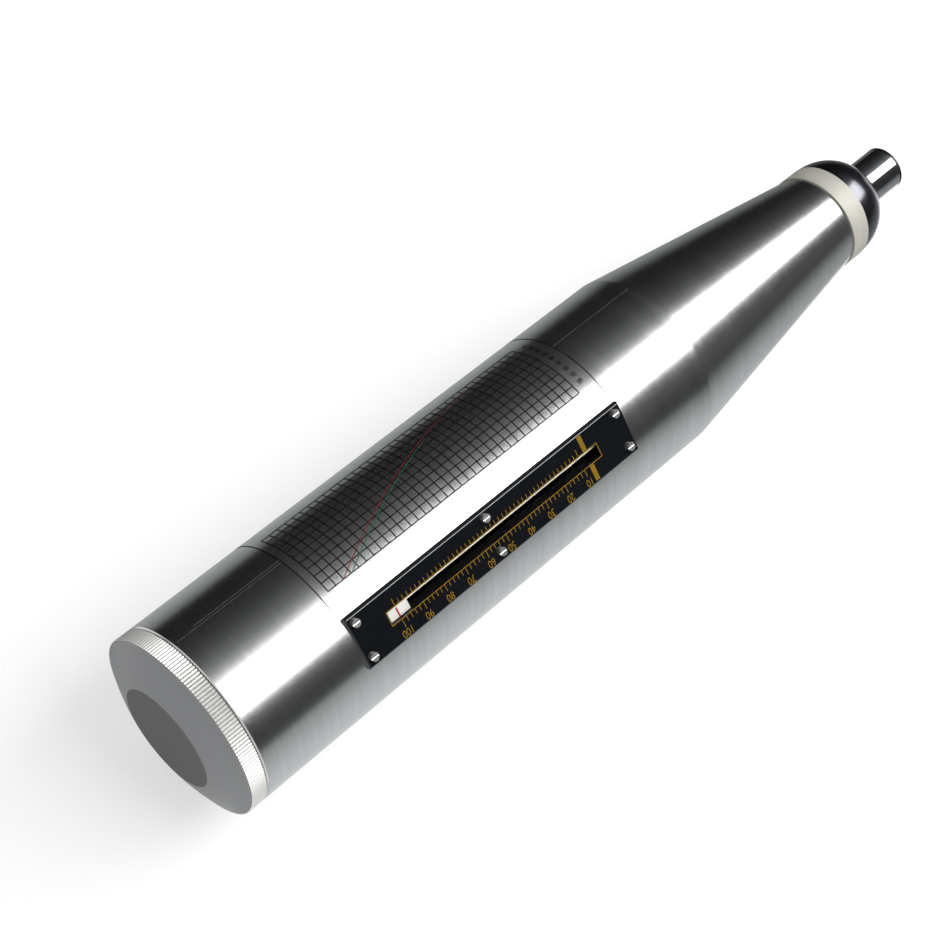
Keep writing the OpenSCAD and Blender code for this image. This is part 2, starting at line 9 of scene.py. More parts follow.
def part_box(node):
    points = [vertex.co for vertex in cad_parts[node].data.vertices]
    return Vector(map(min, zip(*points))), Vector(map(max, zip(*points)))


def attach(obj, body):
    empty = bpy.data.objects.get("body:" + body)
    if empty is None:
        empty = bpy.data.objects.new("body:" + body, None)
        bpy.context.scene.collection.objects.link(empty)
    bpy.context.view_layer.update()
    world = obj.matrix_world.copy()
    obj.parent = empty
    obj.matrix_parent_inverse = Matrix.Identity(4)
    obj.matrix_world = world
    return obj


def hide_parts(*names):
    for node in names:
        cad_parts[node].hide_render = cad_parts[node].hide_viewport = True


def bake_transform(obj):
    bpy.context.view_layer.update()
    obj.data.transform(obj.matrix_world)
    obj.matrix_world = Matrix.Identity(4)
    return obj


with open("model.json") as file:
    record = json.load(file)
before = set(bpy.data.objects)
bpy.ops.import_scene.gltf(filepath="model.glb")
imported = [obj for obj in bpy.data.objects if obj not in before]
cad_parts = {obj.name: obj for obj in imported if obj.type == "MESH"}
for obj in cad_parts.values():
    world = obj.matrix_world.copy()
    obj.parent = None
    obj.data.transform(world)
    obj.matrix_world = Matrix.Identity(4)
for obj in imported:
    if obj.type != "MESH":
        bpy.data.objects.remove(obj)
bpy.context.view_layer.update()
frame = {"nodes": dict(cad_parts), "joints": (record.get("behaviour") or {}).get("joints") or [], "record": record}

# Lengths of the object are written in millimetres and used in metres
MM = 0.001

# Directions: the scale plate faces the way that the push button is pressed
STRIKE = Vector((1, 0, 0))
PLATE_OUT = Vector(next(j for j in frame["joints"] if j["name"] == "button_press")["axis"]).normalized()
SCALE_SIDE = STRIKE.cross(PLATE_OUT)
nodes = frame["nodes"]

# The body's axis, found from the housing and the rear cover
housing_lo, housing_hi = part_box("housing")
BODY_R = (housing_hi.y - housing_lo.y) / 2
REAR = Vector((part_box("rear_cover")[0].x, 0, housing_lo.z + BODY_R))


def span(node, direction):
    """Least and greatest reach of a CAD node from the rear face's centre along a direction."""
    reach = [(v.co - REAR).dot(direction) for v in nodes[node].data.vertices]
    return min(reach), max(reach)


def outward(angle):
    """Direction away from the axis, in degrees from the plate's own direction and away from its numbers."""
    turn = math.radians(angle)
    return PLATE_OUT * math.cos(turn) - SCALE_SIDE * math.sin(turn)


def on_body(along, radius, angle):
    """A point round the axis, so far along it from the rear face."""
    return REAR + STRIKE * along + outward(angle) * radius


def degrees_of(length):
    """Angle round the axis that a length on the body's skin takes up."""
    return math.degrees(length / BODY_R)


# Printed scale: places along the plate from its rear end, and across it from the slot's middle
UNIT = 0.75 * MM
SCALE_LOW = 10
SCALE_HIGH = 100
NUMBER_STEP = 10
TICK_STEP = 2
HIGH_MARK_AT = 14.0 * MM
PRINT_T = 0.03 * MM
MERGE_WITHIN = 0.003 * MM
LINE_W = 0.24 * MM
TICK_W = 0.22 * MM
LOWER_MINOR = 3.55 * MM
LOWER_MAJOR = 4.2 * MM
LOWER_LONG = 4.6 * MM
UPPER_MINOR = -3.35 * MM
UPPER_LONG = -4.15 * MM
OUTLINE_LOW = 10.85 * MM
OUTLINE_HIGH = 88.45 * MM
OUTLINE_TOP = -2.0 * MM
OUTLINE_FOOT = 2.05 * MM
BAR_AT = 84.2 * MM
BAR_W = 1.5 * MM
BAR_FROM = 2.1 * MM
BAR_TO = 6.85 * MM
NUMBER_AT = 5.85 * MM
NUMBER_H = 3.1 * MM
NUMBER_STRETCH_SHARE = 0.82

# Painted highlights on the plate: a pale line along its upper edge, and a light line along the slot's upper side
EDGE_HIGHLIGHT_INSET = 0.4 * MM
EDGE_HIGHLIGHT_FROM = -7.25 * MM
EDGE_HIGHLIGHT_TO = -7.0 * MM
SLOT_HIGHLIGHT_FROM = -1.12 * MM
SLOT_HIGHLIGHT_TO = -0.7 * MM

# Chart film on the housing: places from the rear face, and degrees from the plate
FILM_FROM = 44.3 * MM
FILM_TO = 144.9 * MM
FILM_LOW = 23.0
FILM_HIGH = 112.0
FILM_LIFT = 0.03 * MM
FILM_T = 0.02 * MM
ARC_STEP = 3.0
CHART_FROM = 47.1 * MM
CHART_TO = 138.4 * MM
CHART_LOW = 32.0
CHART_COLUMNS = 35
CHART_ROWS = 10
CHART_CELL = (CHART_TO - CHART_FROM) / CHART_COLUMNS
CHART_HIGH = CHART_LOW + CHART_ROWS * degrees_of(CHART_CELL)
CHART_LINE_W = 0.27 * MM
EDGE_LINE_W = 0.25 * MM
DOT_LEN = 0.5 * MM
DOT_GAP = 1.0 * MM
INK_LIFT = FILM_LIFT + FILM_T
INK_T = 0.02 * MM
CURVE_W = 0.44 * MM
CURVE_STEPS = 28
RED_FROM = 52.3 * MM
RED_TO = 118.0 * MM
RED_HIGH = 82.0
RED_BEND_SHARE = 0.45
GREEN_FROM = 55.2 * MM
GREEN_TO = 97.0 * MM
GREEN_HIGH = 69.0
GREEN_BEND_SHARE = 0.25
AXIS_NUMBER_AT = 141.3 * MM
AXIS_NUMBER_H = 1.9 * MM
AXIS_TOP = 65
AXIS_STEP = 5

# Edges of the clear film in front of the chart and behind it
SEAM_W = 0.14 * MM
REAR_SEAM_FROM = 10.5 * MM
REAR_SEAM_ANGLE = 62.0
LAP_SEAM_FROM = 16.5 * MM
LAP_SEAM_ANGLE = 64.0
FRONT_SEAM_TO = 175.5 * MM
FRONT_SEAM_ANGLE = 66.0

# White face of the pointer block and its red line
FACE_HALF = 2.0 * MM
FACE_T = 0.1 * MM
POINTER_LINE_W = 0.5 * MM
POINTER_LINE_AT = 3.9 * MM

# Springs that span a joint: wires and turns as in the source, and the steps of their meshes
PRESSURE_WIRE = 2.4 * MM
PRESSURE_TURNS = 5
IMPACT_WIRE = 2.2 * MM
IMPACT_TURNS = 18
BUTTON_WIRE = 0.7 * MM
BUTTON_TURNS = 2.5
PAWL_WIRE = 0.5 * MM
PAWL_TURNS = 2
COIL_RINGS = 24
COIL_SIDES = 10

# Grain directions: turning marks lie close together along the axis and run long round it
TURNED = (1, 0.012, 0.012)
EVEN = (1, 1, 1)

# Settings that several finishes have in common
WHITE = (1, 1, 1)
GRAIN_BUMP = 0.02 * MM
EDGE_SOFT = 0.15 * MM
NOISE_DETAIL = 3.0
NOISE_ROUGH_SHARE = 0.55
RAMP_LOW_SHARE = 0.3
RAMP_HIGH_SHARE = 0.7


def new_material(name):
    """A material with its node tree and its shader."""
    mat = bpy.data.materials.new(name)
    mat.use_nodes = True
    tree = mat.node_tree
    shader = tree.nodes["Principled BSDF"]
    return mat, tree, shader


def add(tree, kind, **settings):
    """A new node with some of its settings changed."""
    node = tree.nodes.new(kind)
    for key, value in settings.items():
        setattr(node, key, value)
    return node


def link(tree, source, target):
    tree.links.new(source, target)


def stretched(tree, scale):
    """Object coordinates scaled apart along the three axes, so that grain can run one way."""
    place = add(tree, "ShaderNodeTexCoord")
    mapping = add(tree, "ShaderNodeMapping")
    mapping.inputs["Scale"].default_value = scale
    link(tree, place.outputs["Object"], mapping.inputs["Vector"])
    return mapping.outputs["Vector"]


def noise(tree, grain, scale, detail=NOISE_DETAIL, rough_share=NOISE_ROUGH_SHARE):
    """Cloudy values from 0 to 1, drawn out along the grain."""
    node = add(tree, "ShaderNodeTexNoise")
    node.inputs["Scale"].default_value = scale
    node.inputs["Detail"].default_value = detail
    node.inputs["Roughness"].default_value = rough_share
    link(tree, stretched(tree, grain), node.inputs["Vector"])
    return node.outputs["Fac"]


def ramp(tree, fac, low, high):
    """Colour between two tones, steeper than the values that it follows."""
    node = add(tree, "ShaderNodeValToRGB")
    node.color_ramp.elements[0].position = RAMP_LOW_SHARE
    node.color_ramp.elements[1].position = RAMP_HIGH_SHARE
    node.color_ramp.elements[0].color = (*low, 1)
    node.color_ramp.elements[1].color = (*high, 1)
    link(tree, fac, node.inputs["Fac"])
    return node.outputs["Color"]


def levels(tree, fac, low, high):
    """Number between two others, at the place that a value from 0 to 1 gives."""
    node = add(tree, "ShaderNodeMapRange")
    node.inputs["To Min"].default_value = low
    node.inputs["To Max"].default_value = high
    link(tree, fac, node.inputs["Value"])
    return node.outputs["Result"]


def bump(tree, shader, height, strength_share, distance=GRAIN_BUMP):
    """Fine relief on a shader's surface."""
    node = add(tree, "ShaderNodeBump")
    node.inputs["Strength"].default_value = strength_share
    node.inputs["Distance"].default_value = distance
    link(tree, height, node.inputs["Height"])
    link(tree, node.outputs["Normal"], shader.inputs["Normal"])


def shade(colour, share):
    return tuple(tone * share for tone in colour)


def object_place(tree):
    """The three coordinates of a point of the object, apart."""
    place = add(tree, "ShaderNodeTexCoord")
    apart = add(tree, "ShaderNodeSeparateXYZ")
    link(tree, place.outputs["Object"], apart.inputs["Vector"])
    return apart


def step_at(tree, value, edge, width):
    """0 below an edge and 1 above it, with a soft change between."""
    reach = add(tree, "ShaderNodeMapRange")
    reach.inputs["From Min"].default_value = edge - width / 2
    reach.inputs["From Max"].default_value = edge + width / 2
    link(tree, value, reach.inputs["Value"])
    return reach.outputs["Result"]


def along_mask(tree, edge, width=EDGE_SOFT):
    """0 behind a place on the axis and 1 in front of it, in metres from the rear face."""
    return step_at(tree, object_place(tree).outputs["X"], REAR.x + edge, width)


def round_mask(tree, edge, width=EDGE_SOFT):
    """0 inside a radius round the axis and 1 outside it, in metres."""
    apart = object_place(tree)
    lower = add(tree, "ShaderNodeMath", operation="SUBTRACT")
    lower.inputs[1].default_value = REAR.z
    link(tree, apart.outputs["Z"], lower.inputs[0])
    flat = add(tree, "ShaderNodeCombineXYZ")
    link(tree, apart.outputs["Y"], flat.inputs["Y"])
    link(tree, lower.outputs["Value"], flat.inputs["Z"])
    length = add(tree, "ShaderNodeVectorMath", operation="LENGTH")
    link(tree, flat.outputs["Vector"], length.inputs[0])
    return step_at(tree, length.outputs["Value"], edge, width)


def greater(tree, one, other):
    node = add(tree, "ShaderNodeMath", operation="MAXIMUM")
    link(tree, one, node.inputs[0])
    link(tree, other, node.inputs[1])
    return node.outputs["Value"]


def tint(tree, mask, low, high):
    """Colour that goes from one tone to another with a mask."""
    node = add(tree, "ShaderNodeMix", data_type="RGBA")
    node.inputs["A"].default_value = (*low, 1)
    node.inputs["B"].default_value = (*high, 1)
    link(tree, mask, node.inputs["Factor"])
    return node.outputs["Result"]


def times(tree, one, other):
    """Two colours multiplied."""
    node = add(tree, "ShaderNodeMix", data_type="RGBA", blend_type="MULTIPLY")
    node.inputs["Factor"].default_value = 1
    link(tree, one, node.inputs["A"])
    link(tree, other, node.inputs["B"])
    return node.outputs["Result"]


def half_clear(tree, shader, cover):
    """Shows a shader over clear material, as much as the cover says."""
    clear = add(tree, "ShaderNodeBsdfTransparent")
    mix = add(tree, "ShaderNodeMixShader")
    link(tree, cover, mix.inputs["Fac"])
    link(tree, clear.outputs["BSDF"], mix.inputs[1])
    link(tree, shader.outputs["BSDF"], mix.inputs[2])
    link(tree, mix.outputs["Shader"], tree.nodes["Material Output"].inputs["Surface"])


# Machined metal
METAL_DETAIL = 4.0
BROAD_SCALE = 45.0
BROAD_DETAIL = 2.0
BROAD_SHARE = 0.4
METAL_SMOOTH_SHARE = 0.75
METAL_DULL_SHARE = 1.3


def metal(name, colour, rough, grain, grain_scale, vary_share=0.12, bump_share=0.15):
    """Machined metal: uneven tone and roughness, with fine marks along the chosen direction."""
    mat, tree, shader = new_material(name)
    shader.inputs["Metallic"].default_value = 1
    fine = noise(tree, grain, grain_scale, METAL_DETAIL)
    broad = noise(tree, EVEN, BROAD_SCALE, BROAD_DETAIL)
    mix = add(tree, "ShaderNodeMix", data_type="FLOAT")
    mix.inputs["Factor"].default_value = BROAD_SHARE
    link(tree, fine, mix.inputs["A"])
    link(tree, broad, mix.inputs["B"])
    tone = ramp(tree, mix.outputs["Result"], shade(colour, 1 - vary_share), shade(colour, 1 + vary_share))
    link(tree, tone, shader.inputs["Base Color"])
    dull = levels(tree, fine, rough * METAL_SMOOTH_SHARE, rough * METAL_DULL_SHARE)
    link(tree, dull, shader.inputs["Roughness"])
    bump(tree, shader, fine, bump_share)
    return mat


# Ink, paint and plastic
PAINT_SMOOTH_SHARE = 0.85
PAINT_DULL_SHARE = 1.2
PAINT_BUMP_SHARE = 0.06
PAINT_GRAIN_SCALE = 900.0


def paint(name, colour, rough, vary_share=0.1, grain_scale=PAINT_GRAIN_SCALE, gloss_share=0.5):
    """Ink, paint or plastic: a slightly uneven tone over a fine orange-peel surface."""
    mat, tree, shader = new_material(name)
    fine = noise(tree, EVEN, grain_scale)
    tone = ramp(tree, fine, shade(colour, 1 - vary_share), shade(colour, 1 + vary_share))
    link(tree, tone, shader.inputs["Base Color"])
    dull = levels(tree, fine, rough * PAINT_SMOOTH_SHARE, rough * PAINT_DULL_SHARE)
    link(tree, dull, shader.inputs["Roughness"])
    shader.inputs["Specular IOR Level"].default_value = gloss_share
    bump(tree, shader, fine, PAINT_BUMP_SHARE)
    return mat


# Turned metal whose finish changes across a line
TURNED_SCALE = 400.0
WORN_SHARE = 0.9
TURNED_SMOOTH_SHARE = 0.94
TURNED_DULL_SHARE = 1.06


def two_tone(name, mask_of, low, high, rough_low, rough_high, bump_share=0.12, aniso_share=0,
             metal_low_share=1, metal_high_share=1):
    """Turned metal whose tone and roughness change across a line on the piece."""
    mat, tree, shader = new_material(name)
    mask = mask_of(tree)
    if metal_low_share == metal_high_share:
        shader.inputs["Metallic"].default_value = metal_low_share
    else:
        link(tree, levels(tree, mask, metal_low_share, metal_high_share), shader.inputs["Metallic"])
    fine = noise(tree, TURNED, TURNED_SCALE, METAL_DETAIL)
    wear = ramp(tree, fine, shade(WHITE, WORN_SHARE), WHITE)
    link(tree, times(tree, tint(tree, mask, low, high), wear), shader.inputs["Base Color"])
    uneven = add(tree, "ShaderNodeMath", operation="MULTIPLY")
    link(tree, levels(tree, mask, rough_low, rough_high), uneven.inputs[0])
    link(tree, levels(tree, fine, TURNED_SMOOTH_SHARE, TURNED_DULL_SHARE), uneven.inputs[1])
    link(tree, uneven.outputs["Value"], shader.inputs["Roughness"])
    if aniso_share:
        shader.inputs["Anisotropic"].default_value = aniso_share
        tangent = add(tree, "ShaderNodeTangent", direction_type="RADIAL", axis="X")
        link(tree, tangent.outputs["Tangent"], shader.inputs["Tangent"])
    bump(tree, shader, fine, bump_share)
    return mat


# Rear cover: pale knurled rim; the grey dome, the dark flat disc and the dark grooves of the rim are painted shade
DISC_R = 15.1 * MM
RIM_FROM = 4.1 * MM
GROOVE_R = 26.72 * MM
GROOVE_SOFT = 0.25 * MM
DISC_SHADE_TONE = (0.064, 0.065, 0.067)
DOME_SHADE_TONE = (0.225, 0.229, 0.234)
RIM_TONE = (0.9, 0.9, 0.87)
GROOVE_SHADE_SHARES = (0.06, 0.06, 0.06)


def cover_material():
    """Pale rim, with painted shade: a darker dome, a dark disc in the middle and dark grooves in the rim."""
    mat = two_tone(
        "aluminium_cover_painted_shade", lambda tree: along_mask(tree, RIM_FROM),
        low=DOME_SHADE_TONE, high=RIM_TONE, rough_low=0.45, rough_high=0.5, metal_high_share=0.7,
    )
    tree = mat.node_tree
    colour = tree.nodes["Principled BSDF"].inputs["Base Color"]
    before = colour.links[0].from_socket
    disc_shade = tint(tree, round_mask(tree, DISC_R), shade(DISC_SHADE_TONE, 1 / DOME_SHADE_TONE[0]), WHITE)
    groove_shade = tint(tree, round_mask(tree, GROOVE_R, GROOVE_SOFT), GROOVE_SHADE_SHARES, WHITE)
    part = add(tree, "ShaderNodeMix", data_type="RGBA")
    link(tree, along_mask(tree, RIM_FROM), part.inputs["Factor"])
    link(tree, disc_shade, part.inputs["A"])
    link(tree, groove_shade, part.inputs["B"])
    link(tree, times(tree, before, part.outputs["Result"]), colour)
    return mat


# Nose cap: pale band, and a polished dome painted dark for the shade and dark surroundings that it reflects
BAND_TO = 262.5 * MM
BAND_TONE = (0.52, 0.51, 0.46)
NOSE_DOME_SHADE_TONE = (0.16, 0.16, 0.175)


def nose_material():
    return two_tone(
        "aluminium_nose_shaded_dome", lambda tree: along_mask(tree, BAND_TO),
        low=BAND_TONE, high=NOSE_DOME_SHADE_TONE, rough_low=0.6, rough_high=0.2, metal_low_share=0.3,
    )


# Plunger: polished, with its rounded tip painted darker for shade
SHADED_TIP_LEN = 2.0 * MM
PLUNGER_TONE = (0.55, 0.55, 0.56)
TIP_SHADE_TONE = (0.05, 0.05, 0.053)


def plunger_material():
    shaded_tip_at = span("plunger", STRIKE)[1] - SHADED_TIP_LEN
    return two_tone(
        "polished_steel_shaded_tip", lambda tree: along_mask(tree, shaded_tip_at),
        low=PLUNGER_TONE, high=TIP_SHADE_TONE, rough_low=0.1, rough_high=0.35, bump_share=0.03,
    )


# Housing: turned outside; dull inside its bore and under the scale plate, and painted dark there for shade
SKIN_R = 26.6 * MM
BORE_SHADE_TO = 160.0 * MM
SKIN_TONE = (0.585, 0.585, 0.575)
BORE_SHADE_TONE = (0.02, 0.02, 0.02)


def skin_mask(tree):
    """1 on the outer skin, 0 inside the straight part of the housing, where shade is painted."""
    return greater(tree, round_mask(tree, SKIN_R), along_mask(tree, BORE_SHADE_TO))


def housing_material():
    return two_tone(
        "brushed_housing_shaded_bore", skin_mask,
        low=BORE_SHADE_TONE, high=SKIN_TONE, rough_low=0.7, rough_high=0.19, bump_share=0.008, aniso_share=0.5,
    )


# Window: clear strip with a faint smear and a gloss that grows towards grazing views
GLASS_TONE = (0.9, 0.93, 0.94)
SMEAR_SCALE = 160.0
SMEAR_ROUGH = (0.02, 0.08)
GLASS_BLEND_SHARE = 0.2
GLASS_COVER_SHARES = (0.02, 0.5)


def glass_material():
    mat, tree, shader = new_material("window_glass")
    shader.inputs["Base Color"].default_value = (*GLASS_TONE, 1)
    shader.inputs["Transmission Weight"].default_value = 1
    smear = noise(tree, EVEN, SMEAR_SCALE)
    link(tree, levels(tree, smear, *SMEAR_ROUGH), shader.inputs["Roughness"])
    edge = add(tree, "ShaderNodeLayerWeight")
    edge.inputs["Blend"].default_value = GLASS_BLEND_SHARE
    half_clear(tree, shader, levels(tree, edge.outputs["Fresnel"], *GLASS_COVER_SHARES))
    return mat


# Chart film: thin clear label over the metal, hardly to be seen
WRINKLE_SCALE = 120.0
FILM_TONES = ((0.5, 0.5, 0.5), (0.62, 0.62, 0.62))
FILM_ROUGH = (0.12, 0.25)
FILM_BUMP_SHARE = 0.05
FILM_COVER_SHARES = (0.003, 0.009)


def film_material():
    mat, tree, shader = new_material("chart_film")
    wrinkle = noise(tree, EVEN, WRINKLE_SCALE)
    link(tree, ramp(tree, wrinkle, *FILM_TONES), shader.inputs["Base Color"])
    link(tree, levels(tree, wrinkle, *FILM_ROUGH), shader.inputs["Roughness"])
    bump(tree, shader, wrinkle, FILM_BUMP_SHARE)
    half_clear(tree, shader, levels(tree, wrinkle, *FILM_COVER_SHARES))
    return mat


# Felt washer: dense short hair
HAIR_SCALE = 1500.0
HAIR_DETAIL = 6.0
HAIR_ROUGH_SHARE = 0.7
FELT_TONES = ((0.07, 0.07, 0.07), (0.17, 0.17, 0.165))
FELT_ROUGH = (0.85, 1.0)
FELT_SHEEN_SHARE = 0.3
FELT_BUMP_SHARE = 0.6
HAIR_BUMP = 0.2 * MM


def felt_material():
    mat, tree, shader = new_material("felt")
    hair = noise(tree, EVEN, HAIR_SCALE, HAIR_DETAIL, HAIR_ROUGH_SHARE)
    link(tree, ramp(tree, hair, *FELT_TONES), shader.inputs["Base Color"])
    link(tree, levels(tree, hair, *FELT_ROUGH), shader.inputs["Roughness"])
    shader.inputs["Sheen Weight"].default_value = FELT_SHEEN_SHARE
    bump(tree, shader, hair, FELT_BUMP_SHARE, HAIR_BUMP)
    return mat


# Finishes by the record's slots, and finishes of single pieces, which come first
slots = {
    "bright_steel": metal(
        "bright_steel", colour=(0.66, 0.66, 0.65), rough=0.22, grain=EVEN, grain_scale=700.0,
        vary_share=0.08, bump_share=0.1,
    ),
    "dark_steel": metal(
        "dark_steel", colour=(0.2, 0.2, 0.21), rough=0.35, grain=TURNED, grain_scale=500.0,
        vary_share=0.15, bump_share=0.15,
    ),
    "spring_steel": metal(
        "spring_steel", colour=(0.4, 0.4, 0.41), rough=0.28, grain=EVEN, grain_scale=900.0,
        vary_share=0.12, bump_share=0.12,
    ),
    "brass": metal(
        "brass", colour=(0.68, 0.5, 0.22), rough=0.25, grain=TURNED, grain_scale=500.0,
        vary_share=0.1, bump_share=0.12,
    ),
    "pale_aluminium": metal(
        "pale_aluminium", colour=(0.72, 0.72, 0.7), rough=0.35, grain=TURNED, grain_scale=420.0,
        vary_share=0.08, bump_share=0.15,
    ),
    "black_plate": paint("black_plate", colour=(0.005, 0.006, 0.008), rough=0.12, grain_scale=300.0),
    "white_pointer": paint("white_pointer", colour=(0.8, 0.79, 0.75), rough=0.5, vary_share=0.04),
    "window_glass": glass_material(),
    "felt": felt_material(),
}
special = {
    "housing": housing_material(),
    "rear_cover": cover_material(),
    "nose_cap": nose_material(),
    "plunger": plunger_material(),
    "pointer_rod": metal(
        "shaded_rod", colour=(0.05, 0.05, 0.052), rough=0.3, grain=TURNED, grain_scale=500.0,
    ),
    "plate_screws": metal(
        "nickel_screws", colour=(0.8, 0.8, 0.78), rough=0.3, grain=EVEN, grain_scale=700.0,
        vary_share=0.06, bump_share=0.08,
    ),
}
for part in frame["record"]["subparts"]:
    mesh = nodes[part["node"]].data
    mesh.materials.clear()
    mesh.materials.append(special.get(part["node"]) or slots[part["material_slot"]])

# Inks of the printed pieces
INK_GLOSS_SHARE = 0.1


def ink(name, colour, rough, vary_share=0.1):
    """Printed ink, duller than paint."""
    return paint(name, colour, rough, vary_share, gloss_share=INK_GLOSS_SHARE)


gold = ink("gold_ink", colour=(0.21, 0.12, 0.006), rough=0.4, vary_share=0.12)
red_ink = ink("red_ink", colour=(0.17, 0.006, 0.01), rough=0.5)
hair_red = ink("hair_red", colour=(0.45, 0.02, 0.02), rough=0.5)
green_ink = ink("green_ink", colour=(0.003, 0.11, 0.045), rough=0.5)
black_ink = ink("black_ink", colour=(0.004, 0.004, 0.004), rough=0.6, vary_share=0.3)
# Cream ink for the painted highlight along the slot's upper side
cream_highlight_ink = paint("cream_highlight_ink", colour=(0.93, 0.88, 0.74), rough=0.5, vary_share=0.03)
# Grey ink for the painted highlight along the plate's upper edge
grey_highlight_ink = paint("grey_highlight_ink", colour=(0.3, 0.31, 0.31), rough=0.4)
seam_ink = paint("film_seam", colour=(0.07, 0.07, 0.07), rough=0.3, vary_share=0.2)


def mesh_object(name, bm, material):
    """An object in the scene from a finished mesh."""
    mesh = bpy.data.meshes.new(name)
    bmesh.ops.recalc_face_normals(bm, faces=bm.faces)
    bm.to_mesh(mesh)
    bm.free()
    mesh.materials.append(material)
    obj = bpy.data.objects.new(name, mesh)
    bpy.context.scene.collection.objects.link(obj)
    return obj


def piece(name, bm, material, body):
    """A piece that rides on one body."""
    obj = mesh_object(name, bm, material)
    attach(obj, body)


def slab(bm, corners, thickness):
    """A thin closed slab: its corners as points, each with the direction that it is lifted in."""
    low = [bm.verts.new(point) for point, _ in corners]
    high = [bm.verts.new(point + out * thickness) for point, out in corners]
    bm.faces.new(low[::-1])
    bm.faces.new(high)
    for i in range(len(corners)):
        k = (i + 1) % len(corners)
        bm.faces.new((low[i], low[k], high[k], high[i]))


def flat_slab(bm, along, side, lift, thickness):
    """A slab in the plate's direction, between two places along the axis and two across the slot."""
    places = ((along[0], side[0]), (along[1], side[0]), (along[1], side[1]), (along[0], side[1]))
    points = [REAR + STRIKE * at + SCALE_SIDE * across + PLATE_OUT * lift for at, across in places]
    slab(bm, [(point, PLATE_OUT) for point in points], thickness)


plate_rear, plate_front = span("scale_plate", STRIKE)
plate_top = span("scale_plate", PLATE_OUT)[1]


def plate_strip(bm, along_from, along_to, side_from, side_to):
    """A printed strip on the scale plate."""
    along = (plate_rear + along_from, plate_rear + along_to)
    flat_slab(bm, along, (side_from, side_to), plate_top, PRINT_T)


def mark_at(value):
    """Place of a scale value along the plate."""
    return HIGH_MARK_AT + (SCALE_HIGH - value) * UNIT


def scale_marks():
    """Outline of the slot, the scale's marks on both sides of it, and the broad bar."""
    bm = bmesh.new()
    half = LINE_W / 2
    for side in (OUTLINE_TOP, OUTLINE_FOOT):
        plate_strip(bm, OUTLINE_LOW - half, OUTLINE_HIGH + half, side - half, side + half)
    for along in (OUTLINE_LOW, OUTLINE_HIGH):
        plate_strip(bm, along - half, along + half, OUTLINE_TOP + half, OUTLINE_FOOT - half)
    tick = TICK_W / 2
    for value in range(SCALE_LOW, SCALE_HIGH + 1, TICK_STEP):
        at = mark_at(value)
        foot = LOWER_MAJOR if value % NUMBER_STEP == 0 else LOWER_MINOR
        if value == SCALE_HIGH:
            foot = LOWER_LONG
        plate_strip(bm, at - tick, at + tick, OUTLINE_FOOT + half, foot)
        top = UPPER_LONG if value in (SCALE_LOW, SCALE_HIGH) else UPPER_MINOR
        plate_strip(bm, at - tick, at + tick, top, OUTLINE_TOP - half)
    for sign in (-1, 1):
        near, far = sorted((sign * (BAR_FROM + half), sign * BAR_TO))
        plate_strip(bm, BAR_AT - BAR_W / 2, BAR_AT + BAR_W / 2, near, far)
    piece("scale_marks", bm, gold, "housing")


def number(bm, value, height, middle, right, up, out):
    """A plain number as thin closed digits, centred on a place and read along a direction."""
    curve = bpy.data.curves.new("number", "FONT")
    curve.body = str(value)
    curve.align_x = "CENTER"
    curve.align_y = "CENTER"
    curve.size = height
    curve.extrude = PRINT_T / 2
    temp = bpy.data.objects.new("number", curve)
    bpy.context.scene.collection.objects.link(temp)
    bpy.context.view_layer.update()
    mesh = bpy.data.meshes.new_from_object(temp.evaluated_get(bpy.context.evaluated_depsgraph_get()))
    turn = Matrix((right * NUMBER_STRETCH_SHARE, up, out)).transposed().to_4x4()
    mesh.transform(Matrix.Translation(middle) @ turn)
    bm.from_mesh(mesh)
    bpy.data.objects.remove(temp)
    bpy.data.curves.remove(curve)
    bpy.data.meshes.remove(mesh)


def scale_numbers():
    """Plain numbers beside the marks, read from the far side of the scale."""
    bm = bmesh.new()
    lift = plate_top + PRINT_T / 2
    for value in range(SCALE_LOW, SCALE_HIGH + 1, NUMBER_STEP):
        along = plate_rear + mark_at(value)
        middle = REAR + STRIKE * along + SCALE_SIDE * NUMBER_AT + PLATE_OUT * lift
        number(bm, value, NUMBER_H, middle, -STRIKE, SCALE_SIDE, PLATE_OUT)
    bmesh.ops.remove_doubles(bm, verts=bm.verts, dist=MERGE_WITHIN)
    piece("scale_numbers", bm, gold, "housing")


def plate_edge_line():
    """Pale line along the plate's upper edge: a painted highlight where its bevel catches the light."""
    bm = bmesh.new()
    plate_strip(bm, EDGE_HIGHLIGHT_INSET, plate_front - plate_rear - EDGE_HIGHLIGHT_INSET, EDGE_HIGHLIGHT_FROM, EDGE_HIGHLIGHT_TO)
    piece("plate_edge_line", bm, grey_highlight_ink, "housing")


def slot_line():
    """Painted highlight: a light line on the window's lower face along the slot's upper side, where the rod
    beneath catches the light.
    """
    bm = bmesh.new()
    lift = span("scale_window", PLATE_OUT)[0] - PRINT_T
    flat_slab(bm, span("scale_window", STRIKE), (SLOT_HIGHLIGHT_FROM, SLOT_HIGHLIGHT_TO), lift, PRINT_T)
    piece("slot_line", bm, cream_highlight_ink, "housing")


def wrap(bm, along_from, along_to, angle_from, angle_to, lift, thickness):
    """A thin patch of the cylinder, split into short flat steps round the axis."""
    steps = max(1, math.ceil((angle_to - angle_from) / ARC_STEP))
    outline = ((along_from, 0), (along_to, 0), (along_to, thickness), (along_from, thickness))
    rings = []
    for i in range(steps + 1):
        angle = angle_from + (angle_to - angle_from) * i / steps
        rings.append([bm.verts.new(on_body(along, BODY_R + lift + up, angle)) for along, up in outline])
    for one, two in zip(rings, rings[1:]):
        for k in range(len(outline)):
            j = (k + 1) % len(outline)
            bm.faces.new((one[k], one[j], two[j], two[k]))
    bm.faces.new(rings[0][::-1])
    bm.faces.new(rings[-1])


def chart_film():
    bm = bmesh.new()
    wrap(bm, FILM_FROM, FILM_TO, FILM_LOW, FILM_HIGH, FILM_LIFT, FILM_T)
    piece("chart_film", bm, film_material(), "housing")


